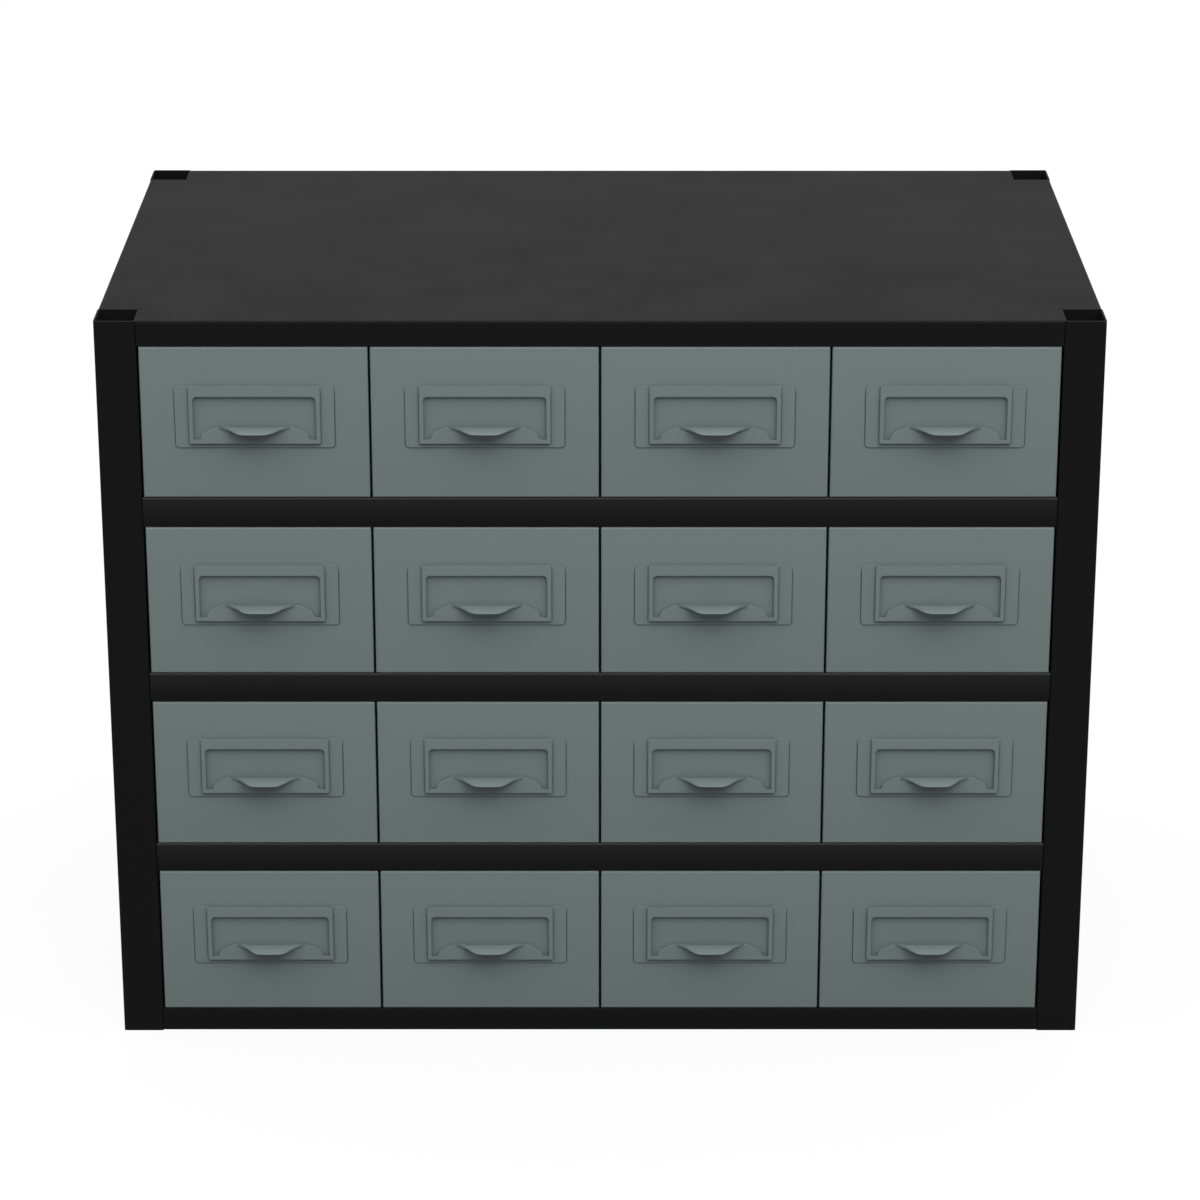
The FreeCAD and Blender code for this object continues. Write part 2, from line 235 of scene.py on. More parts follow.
lamp_data = bpy.data.lights.new("soft_lamp", "AREA")
lamp_data.shape = "SQUARE"
lamp_data.size = LAMP_SIZE
lamp_data.energy = LAMP_POWER
lamp = bpy.data.objects.new("soft_lamp", lamp_data)
level = math.cos(LAMP_HEIGHT)
towards_lamp = Vector(
    (level * math.sin(LAMP_BEARING), -level * math.cos(LAMP_BEARING), math.sin(LAMP_HEIGHT))
)
lamp.location = cabinet_middle + towards_lamp * LAMP_DISTANCE
lamp.rotation_euler = towards_lamp.to_track_quat("Z", "Y").to_euler()
scene.collection.objects.link(lamp)

scene.view_settings.view_transform = "Standard"
print("lamp at", [round(value, 2) for value in lamp.location])

# %% [markdown]
# Powder paint is sprayed dry and baked, and it never flows quite flat. Its skin has a fine
# waviness a millimetre or two across, like the peel of an orange, and its gloss changes a little
# over a hand's width. Both paints on this object have it, so it is one node group with its own
# inputs, and each material puts it in with its own numbers. The drawers share one mesh, so the
# pattern is moved by each drawer's place across and up, and never by how far it is pulled out.

# %% Node group: the skin of powder paint
def new_group(name, inputs, outputs):
    group = bpy.data.node_groups.new(name, "ShaderNodeTree")
    for label, value in inputs.items():
        socket = group.interface.new_socket(label, in_out="INPUT", socket_type="NodeSocketFloat")
        socket.default_value = value
    for label in outputs:
        group.interface.new_socket(label, in_out="OUTPUT", socket_type="NodeSocketFloat")
    return group, group.nodes.new("NodeGroupInput").outputs, group.nodes.new("NodeGroupOutput").inputs


def pattern_place(tree):
    """A place on the piece that differs from one drawer to the next."""
    own = node(tree, "ShaderNodeTexCoord").outputs["Object"]
    stands = node(tree, "ShaderNodeObjectInfo").outputs["Location"]
    across = node(tree, "ShaderNodeVectorMath", {"operation": "MULTIPLY"}, at0=stands, at1=(1, 0, 1))
    moved = node(tree, "ShaderNodeVectorMath", {"operation": "ADD"}, at0=own, at1=across.outputs[0])
    return moved.outputs[0]


paint_skin, given, result = new_group(
    "paint_skin", {"Peel width": 1.6 * MM, "Patch width": 90 * MM}, ["Height", "Patches"]
)
place = pattern_place(paint_skin)
fine = maths(paint_skin, "DIVIDE", 1.0, given["Peel width"])
broad = maths(paint_skin, "DIVIDE", 1.0, given["Patch width"])
peel = node(paint_skin, "ShaderNodeTexNoise", Vector=place, Scale=fine, Detail=1.0, Roughness=0.4)
patches = node(paint_skin, "ShaderNodeTexNoise", Vector=place, Scale=broad, Detail=2.0, Roughness=0.5)
paint_skin.links.new(peel.outputs[0], result["Height"])
paint_skin.links.new(patches.outputs[0], result["Patches"])
print("group", paint_skin.name, "gives", [socket.name for socket in result if socket.name])

# %% [markdown]
# Paint wears first where a hand or another piece rubs: along bends and cut edges. A Bevel node
# looks at the surface a little way around each point. Where its rounded normal leaves the true
# one, the point lies near an edge, and that difference is the mask. Vertex colours could hold
# the same mask, but they would need a finer mesh. A noise breaks it up, as if by small chips.

# %% Node group: rubbed edges
EDGE_GAIN = 4.0
CHIPS_PER_METRE = 140.0

rubbed_edges, given, result = new_group("rubbed_edges", {"Width": 1.0 * MM, "Breakup": 0.4}, ["Mask"])
soft = node(rubbed_edges, "ShaderNodeBevel", {"samples": 4}, Radius=given["Width"])
true = node(rubbed_edges, "ShaderNodeNewGeometry").outputs["Normal"]
same = node(
    rubbed_edges, "ShaderNodeVectorMath", {"operation": "DOT_PRODUCT"}, at0=soft.outputs[0], at1=true
)
edge = maths(rubbed_edges, "SUBTRACT", 1.0, same.outputs["Value"], clamp=True)
edge = maths(rubbed_edges, "MULTIPLY", edge, EDGE_GAIN, clamp=True)
chips = node(
    rubbed_edges, "ShaderNodeTexNoise",
    Vector=pattern_place(rubbed_edges), Scale=CHIPS_PER_METRE, Detail=3.0,
)
kept = maths(rubbed_edges, "MULTIPLY", chips.outputs[0], given["Breakup"])
whole = maths(rubbed_edges, "SUBTRACT", 1.0, kept, clamp=True)
rubbed_edges.links.new(maths(rubbed_edges, "MULTIPLY", edge, whole), result["Mask"])
print("group", rubbed_edges.name, "gives", [socket.name for socket in result if socket.name])

# %% [markdown]
# Dust settles on what faces up, and slides off a slope. The mask is the upward part of the
# normal, raised to a power so that it falls away quickly, and broken up by a soft noise so that
# it never looks like a coat of another paint.

# %% Node group: settled dust
SLOPE_POWER = 3.0

settled_dust, given, result = new_group("settled_dust", {"Patch width": 40 * MM}, ["Mask"])
facing = node(settled_dust, "ShaderNodeNewGeometry").outputs["Normal"]
upward = node(settled_dust, "ShaderNodeSeparateXYZ", Vector=facing).outputs["Z"]
upward = maths(settled_dust, "POWER", maths(settled_dust, "MAXIMUM", upward, 0.0), SLOPE_POWER)
size = maths(settled_dust, "DIVIDE", 1.0, given["Patch width"])
drift = node(
    settled_dust, "ShaderNodeTexNoise",
    Vector=pattern_place(settled_dust), Scale=size, Detail=4.0, Roughness=0.6,
)
settled_dust.links.new(maths(settled_dust, "MULTIPLY", upward, drift.outputs[0]), result["Mask"])
print("group", settled_dust.name, "gives", [socket.name for socket in result if socket.name])

# %% [markdown]
# Painted shade darkens the narrow corner beside each step and bend, where little light reaches. An Ambient
# Occlusion node with a very short reach finds those corners. It is the opposite of the rubbed edges, and
# the two together make the steps of a stamping readable.

# %% Node group: painted shade in creases
CREASE_GAIN = 2.8

crease_film, given, result = new_group("crease_film", {"Reach": 1.5 * MM}, ["Mask"])
open_share = node(crease_film, "ShaderNodeAmbientOcclusion", {"samples": 6}, Distance=given["Reach"])
hidden = maths(crease_film, "SUBTRACT", 1.0, open_share.outputs["AO"], clamp=True)
crease_film.links.new(maths(crease_film, "MULTIPLY", hidden, CREASE_GAIN, clamp=True), result["Mask"])
print("group", crease_film.name, "gives", [socket.name for socket in result if socket.name])

# %% [markdown]
# All the paints are the same recipe with other numbers: a base colour, a paler one where it is
# rubbed or dusty, a satin roughness that wanders a little, and the peel as a bump. The specular
# level is a plain number on the shader's own socket, low for the black, whose binder is matt.
# A paint may also be given a function that grades its base colour over the piece with painted light and
# shade, and one that grades how much shade is painted into its creases.

# %% The recipe for powder paint
PEEL_DEPTH = 0.02 * MM
ROUGHNESS_WANDER = 0.1
# A near black that the painted shade in the creases mixes in.
CREASE_SHADE_COLOUR = (0.012, 0.014, 0.014, 1.0)


def powder_paint(
    name, colour, wear_and_highlight, roughness, specular, rub, dust, crease_shade_amount, graded=None, crease_shade_graded=None
):
    material = bpy.data.materials.new(name)
    material.use_nodes = True
    tree = material.node_tree
    shader = tree.nodes["Principled BSDF"]
    skin = node(tree, "ShaderNodeGroup", {"node_tree": paint_skin}).outputs
    edges = node(tree, "ShaderNodeGroup", {"node_tree": rubbed_edges}).outputs
    dusted = node(tree, "ShaderNodeGroup", {"node_tree": settled_dust}).outputs
    base = graded(tree, colour) if graded else colour
    painted = mixed(tree, maths(tree, "MULTIPLY", edges["Mask"], rub), base, wear_and_highlight)
    painted = mixed(tree, maths(tree, "MULTIPLY", dusted["Mask"], dust), painted, wear_and_highlight)
    # Painted shade: the creases are darkened towards that near black.
    corners = node(tree, "ShaderNodeGroup", {"node_tree": crease_film}).outputs
    amount = crease_shade_graded(tree, crease_shade_amount) if crease_shade_graded else crease_shade_amount
    painted = mixed(tree, maths(tree, "MULTIPLY", corners["Mask"], amount), painted, CREASE_SHADE_COLOUR)
    tree.links.new(painted, shader.inputs["Base Color"])
    least = roughness - ROUGHNESS_WANDER / 2
    wander = maths(tree, "MULTIPLY_ADD", skin["Patches"], ROUGHNESS_WANDER, least)
    tree.links.new(wander, shader.inputs["Roughness"])
    shader.inputs["Specular IOR Level"].default_value = specular
    bump = node(tree, "ShaderNodeBump", Strength=1.0, Distance=PEEL_DEPTH, Height=skin["Height"])
    tree.links.new(bump.outputs[0], shader.inputs["Normal"])
    print("paint", name, "has", len(tree.nodes), "nodes")
    return material


def tinted(colour, factor):
    return tuple(value * factor for value in colour[:3]) + (1.0,)


def place_on_piece(tree):
    """X, Y and Z in the piece's own frame, which a pulled-out drawer takes along."""
    own = node(tree, "ShaderNodeTexCoord").outputs["Object"]
    return node(tree, "ShaderNodeSeparateXYZ", Vector=own).outputs

# %% [markdown]
# The black frame is matt. Its rails carry painted light and shade: they are paler at the top and darken
# downwards, and the front of the upper bend has a narrow painted highlight. The highlight starts a little
# way down, because the drawer shields the very top from the light.
# The shelves repeat at an even pitch, so one mask serves the three rails: the depth below the
# uppermost rail's top, wrapped at that pitch.

# %% Black paint, plain and for the rails
BLACK = (0.0066, 0.0066, 0.0068, 1.0)
BLACK_RUBBED = (0.03, 0.03, 0.03, 1.0)
RAIL_PAINTED_LIGHT = 2.05
RAIL_PAINTED_HIGHLIGHT = 7.2
HIGHLIGHT_TOP = 1.0 * MM
HIGHLIGHT_FADES = (1.3 * MM, 2.4 * MM)
HIGHLIGHT_REACH = 1.1 * MM

rail_tops = [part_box(f"shelf_{row}")[1].z for row in "abc"]
rail_height = rail_tops[0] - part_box("shelf_a")[0].z
row_pitch = rail_tops[0] - rail_tops[1]


# Painted light and shade: each rail is paler at its top and darker downwards, with a painted highlight
# along the front of its upper bend.
def shaded_downwards(tree, colour):
    place = place_on_piece(tree)
    below = maths(tree, "WRAP", maths(tree, "SUBTRACT", rail_tops[0], place["Z"]), row_pitch, 0.0)
    mask = node(
        tree, "ShaderNodeMapRange", {"interpolation_type": "SMOOTHSTEP"}, Value=below, From_Max=rail_height
    )
    painted = mixed(tree, mask.outputs[0], tinted(colour, RAIL_PAINTED_LIGHT), colour)
    start, end = HIGHLIGHT_FADES
    line = node(
        tree, "ShaderNodeMapRange", Value=below, From_Min=start, From_Max=end, To_Min=1.0, To_Max=0.0
    )
    at_front = maths(tree, "LESS_THAN", place["Y"], front_y + HIGHLIGHT_REACH)
    in_reach = maths(tree, "MULTIPLY", at_front, maths(tree, "GREATER_THAN", below, HIGHLIGHT_TOP))
    wear_and_highlight = maths(tree, "MULTIPLY", line.outputs[0], in_reach)
    return mixed(tree, wear_and_highlight, painted, tinted(colour, RAIL_PAINTED_HIGHLIGHT))


frame_paint = powder_paint(
    "black_powder_paint", BLACK, BLACK_RUBBED,
    roughness=0.5, specular=0.025, rub=0.8, dust=0.04, crease_shade_amount=0.0,
)
rail_paint = powder_paint(
    "black_rail_paint", BLACK, BLACK_RUBBED,
    roughness=0.5, specular=0.025, rub=0.3, dust=0.04, crease_shade_amount=0.0, graded=shaded_downwards,
)
print("rails are", round(rail_height / MM, 1), "mm high at a pitch of", round(row_pitch / MM, 1), "mm")

# %% [markdown]
# The blue-grey of the drawers carries painted shade: each front is a shade darker towards its lower edge,
# and the lowest drawers are the darkest. Along the card holder's upper edge, the painted shade in the
# creases fades out. The finger lip has painted shade as well: it is a shade darker all over, and most of
# all in the crease where it leaves the tongue. The shader knows the lip by how far it stands out, so that
# size, the holder's and the front's height are written here, where they are first needed.

# %% Blue-grey paint, for the drawers and for their pulls
GREY = (0.137, 0.172, 0.169, 1.0)
GREY_RUBBED = (0.19, 0.23, 0.225, 1.0)
SHADE_AT_BASE = 0.88
SHADE_LOW_DOWN = 0.92
LOW_DOWN_ENDS = 500 * MM
LIP_CREASE_SHADE = 0.64
LIP_RIM_SHADE = 0.88
HEAD_SHADE_SHARE = 0.15
HEAD_SHADE_FROM = 97 * MM
HEAD_SHADE_TO = 105 * MM

DRAWER_FRONT_HEIGHT = 143.1
pull_low, pull_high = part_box("drawer_a1_pull")
LIP_REACH = (front_y - pull_low.y) / MM
FRAME_PROUD = 4.2
JUST_PROUD = 0.05


# The painted shade in the creases fades out along the holder's head.
def less_shade_at_head(tree, crease_shade_amount):
    return node(
        tree, "ShaderNodeMapRange", Value=place_on_piece(tree)["Z"],
        From_Min=HEAD_SHADE_FROM, From_Max=HEAD_SHADE_TO, To_Min=crease_shade_amount, To_Max=crease_shade_amount * HEAD_SHADE_SHARE,
    ).outputs[0]


# Painted shade: darker towards each front's lower edge, and darker on the lowest drawers.
def shade_on_front(tree, colour):
    mask = maths(tree, "DIVIDE", place_on_piece(tree)["Z"], DRAWER_FRONT_HEIGHT * MM, clamp=True)
    stands = node(tree, "ShaderNodeObjectInfo").outputs["Location"]
    level = node(tree, "ShaderNodeSeparateXYZ", Vector=stands).outputs["Z"]
    high_up = maths(tree, "DIVIDE", level, LOW_DOWN_ENDS, clamp=True)
    foot = mixed(tree, high_up, tinted(colour, SHADE_AT_BASE * SHADE_LOW_DOWN), tinted(colour, SHADE_AT_BASE))
    return mixed(tree, mask, foot, mixed(tree, high_up, tinted(colour, SHADE_LOW_DOWN), colour))


# Painted shade on the lip: darkest in its crease, and less dark towards the rim.
def shade_on_pull(tree, colour):
    forward = place_on_piece(tree)["Y"]
    mask = node(
        tree, "ShaderNodeMapRange",
        Value=forward, From_Min=-FRAME_PROUD * MM, From_Max=-LIP_REACH * MM,
    ).outputs[0]
    lip = mixed(tree, mask, tinted(colour, LIP_CREASE_SHADE), tinted(colour, LIP_RIM_SHADE))
    on_lip = maths(tree, "LESS_THAN", forward, -(FRAME_PROUD + JUST_PROUD) * MM)
    return mixed(tree, on_lip, shade_on_front(tree, colour), lip)


drawer_paint = powder_paint(
    "grey_powder_paint", GREY, GREY_RUBBED, roughness=0.5, specular=0.2, rub=0.12, dust=0.1,
    crease_shade_amount=1.0, graded=shade_on_front, crease_shade_graded=less_shade_at_head,
)
pull_paint = powder_paint(
    "grey_pull_paint", GREY, GREY_RUBBED, roughness=0.5, specular=0.2, rub=0.12, dust=0.1,
    crease_shade_amount=0.75, graded=shade_on_pull, crease_shade_graded=less_shade_at_head,
)
print("the lip stands", round(LIP_REACH, 1), "mm out")

# %% [markdown]
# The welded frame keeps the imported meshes, because folded sheet is just what the CAD model holds
# well. Each of its nodes only swaps its material for the black paint.

# %% Paint the frame
def painted_with(node_name, material):
    mesh = frame["nodes"][node_name].data
    mesh.materials.clear()
    mesh.materials.append(material)


frame_nodes = [name for name in frame["nodes"] if not name.startswith("drawer_")]
for name in frame_nodes:
    painted_with(name, rail_paint if name.startswith("shelf_") else frame_paint)
print(len(frame_nodes), "frame nodes painted")

# %% [markdown]
# Folded sheet is easiest to make as a row of rings: each ring follows the same path, a little
# further in or deeper, and four-sided faces join each ring to the next. So a bend is just a few
# rings around an arc. A Solidify modifier could give the thickness, but not the cut edges, hems
# and fillets, which are what the eye reads as real sheet.

# %% Helpers for folded sheet
BEND_STEPS = 5
CORNER_STEPS = 6
SHARP_ANGLE = math.radians(35)
MERGE_DISTANCE = 0.002


def arc(centre, radius, start, end, steps):
    """Points of an arc from one angle to another, in degrees, counterclockwise from the first axis."""
    turns = [math.radians(start + (end - start) * step / steps) for step in range(steps + 1)]
    return [(centre[0] + radius * math.cos(turn), centre[1] + radius * math.sin(turn)) for turn in turns]


def u_path(half, low, high, radius):
    """Down the left side, along the bottom and up the right side, with round corners."""
    left = arc((radius - half, low + radius), radius, 180, 270, CORNER_STEPS)
    right = arc((half - radius, low + radius), radius, 270, 360, CORNER_STEPS)
    return [(-half, high)] + left + [(0, low)] + right + [(half, high)]


def ring(sheet, points):
    """A row of vertices at places in millimetres."""
    return [sheet.verts.new(Vector(point) * MM) for point in points]


def strips(sheet, rings, closed=False):
    """Four-sided faces between each ring and the next."""
    for first, second in zip(rings, rings[1:]):
        for i in range(len(first) if closed else len(first) - 1):
            j = (i + 1) % len(first)
            sheet.faces.new((first[i], first[j], second[j], second[i]))


def tube(sheet, rings):
    """Closed rings joined to each other, with a face over each end."""
    strips(sheet, rings, closed=True)
    sheet.faces.new(rings[0])
    sheet.faces.new(rings[-1])


def finished(sheet, name):
    """Merges what coincides, turns the faces outwards and marks the sharp edges."""
    bmesh.ops.remove_doubles(sheet, verts=sheet.verts, dist=MERGE_DISTANCE * MM)
    bmesh.ops.recalc_face_normals(sheet, faces=sheet.faces)
    for face in sheet.faces:
        face.smooth = True
    for edge in sheet.edges:
        edge.smooth = edge.calc_face_angle(math.pi) < SHARP_ANGLE
    mesh = bpy.data.meshes.new(name)
    sheet.to_mesh(mesh)
    sheet.free()
    print(name, "has", len(mesh.vertices), "vertices and", len(mesh.polygons), "faces")
    return mesh

# %% [markdown]
# A drawer is folded from one sheet. Its front is a shallow pan: a flat face with all four edges
# turned back, and a lip under the upper one to pull it stiff. Behind it is the open tray with a
# hemmed upper edge, two tabs spot welded to the front, and two ears that stop it at full travel.
# Every drawer is alike, so one mesh serves all sixteen. Its own origin is in the plane of the
# front, in the middle and level with the tray's underside, with Y running back. The underside's
# level is found from the pull's plate, which starts at a known height above it.

# %% Sizes of a drawer
drawer_low, drawer_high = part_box("drawer_a1")
DRAWER_HALF = (drawer_high.x - drawer_low.x) / MM / 2
TRAY_REAR = (drawer_high.y - drawer_low.y) / MM
PLATE_LOW = 47.8
tray_level = pull_low.z - PLATE_LOW * MM
FRONT_LOW = (drawer_low.z - tray_level) / MM
EAR_TOP = (drawer_high.z - tray_level) / MM
SHEET = 1.0
BEND = 1.8
EASE = 0.12
RETURN_DEPTH = 13.0
CORNER_RADIUS = 0.9
CORNER_TAPER = 3
LIP_HEIGHT = 9.0
TRAY_HALF = 99.0
TRAY_HEIGHT = 124.0
TRAY_CORNER = 2.4
HEM = 9.0
TAB_WIDTH = 12.0
EAR_PLACE = 401.8
EAR_LENGTH = 18.0
EAR_RADIUS = 4.0
print("front", round(2 * DRAWER_HALF, 1), "mm wide, tray", round(TRAY_REAR, 1), "mm deep")

# %% [markdown]
# The front's section runs from the middle of its back face, round the inner bend, along the
# return to its eased rim, and back along the outside to the face.

# %% Front of a drawer
def front_ring(inset, depth):
    """A rectangle with round corners, smaller by the inset, at a depth behind the face."""
    radius = CORNER_RADIUS - inset / CORNER_TAPER
    half, low, high = DRAWER_HALF - inset, FRONT_LOW + inset, DRAWER_FRONT_HEIGHT - inset
    lower = u_path(half, low, high - radius, radius)
    right = arc((half - radius, high - radius), radius, 0, 90, CORNER_STEPS)
    left = arc((radius - half, high - radius), radius, 90, 180, CORNER_STEPS)
    return [(x, depth, z) for x, z in lower + right[1:] + left[:-1]]


def add_front(sheet):
    corner = (BEND, BEND)
    section = arc(corner, BEND - SHEET, 270, 180, BEND_STEPS)
    section += [(SHEET, RETURN_DEPTH - EASE), (SHEET - EASE, RETURN_DEPTH)]
    section += [(EASE, RETURN_DEPTH), (0, RETURN_DEPTH - EASE)]
    section += arc(corner, BEND, 180, 270, BEND_STEPS)
    tube(sheet, [ring(sheet, front_ring(inset, depth)) for inset, depth in section])

# %% [markdown]
# Flat pieces such as the lip, the weld tabs and the ears are an outline given a thickness, with
# a narrow ease along both edges so that the cut edge catches the light. Where such a piece is
# welded on, it sinks into its neighbour by a hair, so that no gap and no doubled face shows.

# %% Flat pieces of a drawer
WELD_SINK = EASE / 4


def add_plate(sheet, outline, start, thickness, place):
    """Gives an outline a thickness; place turns two flat numbers and a depth into a spot."""
    middle = Vector([sum(values) / len(outline) for values in zip(*outline)])
    rings = []
    for depth, inset in ((0, EASE), (EASE, 0), (thickness - EASE, 0), (thickness, EASE)):
        points = []
        for point in outline:
            inward = middle - Vector(point)
            a, b = Vector(point) + inward.normalized() * inset
            points.append(place(a, b, start + depth))
        rings.append(ring(sheet, points))
    tube(sheet, rings)


def add_flat_pieces(sheet):
    lip_half, lip_low = DRAWER_HALF - SHEET - EASE, DRAWER_FRONT_HEIGHT - LIP_HEIGHT
    lip_top = DRAWER_FRONT_HEIGHT - SHEET / 2
    lip = [(-lip_half, lip_low), (lip_half, lip_low), (lip_half, lip_top), (-lip_half, lip_top)]
    add_plate(sheet, lip, RETURN_DEPTH - SHEET - WELD_SINK, SHEET, lambda a, b, depth: (a, depth, b))
    for side in (-1, 1):
        outer, inner = side * (TRAY_HALF - SHEET / 2), side * (TRAY_HALF - TAB_WIDTH)
        tab = [(inner, BEND), (outer, BEND), (outer, TRAY_HEIGHT - HEM), (inner, TRAY_HEIGHT - HEM)]
        add_plate(sheet, tab, SHEET - WELD_SINK, SHEET, lambda a, b, depth: (a, depth, b))
        near, far = EAR_PLACE, EAR_PLACE + EAR_LENGTH
        ear = [(near, TRAY_HEIGHT - HEM)]
        ear += arc((near + EAR_RADIUS, EAR_TOP - EAR_RADIUS), EAR_RADIUS, 180, 90, CORNER_STEPS)
        ear += arc((far - EAR_RADIUS, EAR_TOP - EAR_RADIUS), EAR_RADIUS, 90, 0, CORNER_STEPS)
        ear += [(far, TRAY_HEIGHT - HEM)]
        face = side * (TRAY_HALF - SHEET / 2) - (SHEET - EASE) / 2
        add_plate(sheet, ear, face, SHEET - EASE, lambda a, b, depth: (depth, a, b))

# %% [markdown]
# The tray's section runs from its floor up the inside of a wall, round the hem and down the
# outside, and it is carried along a U: down one side, across the back and up the other side. Its
# floor starts behind the front's bend and sinks a hair into the front's lower return.

# %% Tray of a drawer
LAP = 0.05


def add_tray(sheet):
    corner = (BEND, BEND + LAP)
    hem_top = TRAY_HEIGHT - SHEET
    section = arc(corner, BEND - SHEET, 270, 180, BEND_STEPS)
    section += [(SHEET, TRAY_HEIGHT - HEM), (2 * SHEET, TRAY_HEIGHT - HEM)]
    section += arc((SHEET, hem_top), SHEET, 0, 180, BEND_STEPS)
    section += arc(corner, BEND, 180, 270, BEND_STEPS)
    rings = []
    for inset, height in section:
        radius = max(TRAY_CORNER - inset, EASE)
        path = u_path(TRAY_HALF - inset, inset - TRAY_REAR, -BEND, radius)
        rings.append(ring(sheet, [(x, -back, height) for x, back in path]))
    strips(sheet, rings)
    sheet.faces.new(rings[0])
    sheet.faces.new(rings[-1])
    sheet.faces.new([row[0] for row in rings] + [row[-1] for row in reversed(rings)])


sheet = bmesh.new()
add_front(sheet)
add_flat_pieces(sheet)
add_tray(sheet)
drawer_mesh = finished(sheet, "folded_drawer")
drawer_mesh.materials.append(drawer_paint)

# %% [markdown]
# The card holder and the pull are one stamping. A flat plate lies on the drawer, a frame stands
# up from it with its upper side open for the card, and the frame has a window. The tongue that
# is left standing in the window has an arched top, which flares out into the finger lip.
# Heights are measured from the tray's underside, and Y is negative in front of the drawer's face.

# %% Sizes of the card holder and pull
PLATE_HALF = (pull_high.x - pull_low.x) / MM / 2
PLATE_HIGH = (pull_high.z - tray_level) / MM
PLATE_FOOT_RADIUS = 3.5
PLATE_HEAD_RADIUS = 3.5
FRAME_HALF = 59.75
FRAME_LOW = 51.7
FRAME_BEND = 1.2
FRAME_CORNER = 1.0
FRAME_FOOT = 0.6
WINDOW_HALF = 55.95
WINDOW_LOW = 56.0
WINDOW_HIGH = 97.1
WINDOW_RADIUS = 4.2
TONGUE_FOOT = 49.2
TONGUE_SHOULDER = (47.3, 6.4)
TONGUE_CROWN = 30.0
TONGUE_RISE = 13.0
FALL_POWER = 1.5
STEP_FILLET = 2.2
LIP_HALF = 31.4
LIP_DROP = 1.8
LIP_FILLET = 2.6
LIP_LEAST = 0.9
TIP_FADE = 0.8
LIP_WAIST = 0.63
FLARE_POWER = 5.6
print("plate from", round(PLATE_LOW, 1), "to", round(PLATE_HIGH, 1), "mm above the drawer's edge")

# %% [markdown]
# Seen from above, the lip's reach is a bell: flat in the middle, with long thin tips. Its section
# changes along it, so each point of the window's edge carries a whole section, from the front
# face to the back face. On most of the edge this is just the cut sheet with eased corners. On
# the arch it is the lip: out along its underside, round the rim and back along its top. The
# same number of points in every section lets four-sided faces join them all.

# %% Section of the lip
UNDER_POINTS = 4
RIM_POINTS = 4
TOP_POINTS = 9
ROLL_POWER = 2.2


def lip_share(u):
    bell = 1 / (1 + (u / LIP_WAIST) ** FLARE_POWER)
    tip = 1 / (1 + (1 / LIP_WAIST) ** FLARE_POWER)
    return max(0.0, bell - tip * u**2)


def arch_height(x):
    end, height = TONGUE_SHOULDER
    fallen = max(0.0, abs(x) - TONGUE_CROWN) / (end - TONGUE_CROWN)
    return WINDOW_LOW + TONGUE_RISE - (TONGUE_RISE - height) * fallen**FALL_POWER


def lip_section(x):
    """Points (y, z) of the lip at x, from the tongue's front face to the top of its back face."""
    reach = max(LIP_LEAST, (LIP_REACH - FRAME_PROUD) * lip_share(abs(x) / LIP_HALF))
    crest = arch_height(x)
    rim_top = WINDOW_LOW + TONGUE_RISE - LIP_DROP
    rim = FRAME_PROUD + reach - SHEET / 2
    fillet = min(LIP_FILLET, (reach - SHEET / 2) / 2)
    bend = FRAME_PROUD + fillet
    centre = (-bend, crest - SHEET - fillet)

    def top(y):
        return crest - (crest - rim_top) * ((y - bend) / (rim - bend)) ** ROLL_POWER

    points = arc(centre, fillet, 0, 90, BEND_STEPS)
    for step in range(1, UNDER_POINTS):
        y = bend + (rim - bend) * step / UNDER_POINTS
        points.append((-y, top(y) - SHEET))
    points += arc((-rim, rim_top - SHEET / 2), SHEET / 2, 270, 90, RIM_POINTS)
    for step in range(TOP_POINTS - 1, 0, -1):
        y = bend + (rim - bend) * step / TOP_POINTS
        points.append((-y, top(y)))
    return points + arc(centre, fillet + SHEET, 90, 0, BEND_STEPS)


SECTION_POINTS = len(lip_section(0))
print("each section has", SECTION_POINTS, "points")

# %% [markdown]
# The edge of the window is walked from the middle of the arch to the left: down the step, round
# a small relief into the sill, up the side and to the middle of the top. The right half is the
# same path in a mirror.

# %% The edge of the window and its sections
ARCH_POINTS = 34


def window_edge():
    """Left half of the window's edge, from the middle of the arch to the middle of the top."""
    end = TONGUE_SHOULDER[0]
    walked = [end * step / ARCH_POINTS for step in range(ARCH_POINTS + 1)]
    arch = [(-x, arch_height(x)) for x in walked]
    relief = (-TONGUE_FOOT - STEP_FILLET, WINDOW_LOW + STEP_FILLET)
    step = arc(relief, STEP_FILLET, 0, -90, BEND_STEPS)
    corner = (WINDOW_RADIUS - WINDOW_HALF, WINDOW_HIGH - WINDOW_RADIUS)
    side = [(-WINDOW_HALF, WINDOW_LOW)] + arc(corner, WINDOW_RADIUS, 180, 90, CORNER_STEPS)
    return arch + step + side + [(0, WINDOW_HIGH)]


def plain_section(x, z, inward):
    """The cut sheet with eased corners, in as many points as the lip's section has."""
    middle = [(x, -FRAME_PROUD + EASE, z)] * (SECTION_POINTS // 2 - 1)
    middle += [(x, -FRAME_PROUD + SHEET - EASE, z)] * (SECTION_POINTS - 2 - len(middle))
    ease_x, ease_z = x + inward.x * EASE, z + inward.y * EASE
    return [(ease_x, -FRAME_PROUD, ease_z)] + middle + [(ease_x, -FRAME_PROUD + SHEET, ease_z)]


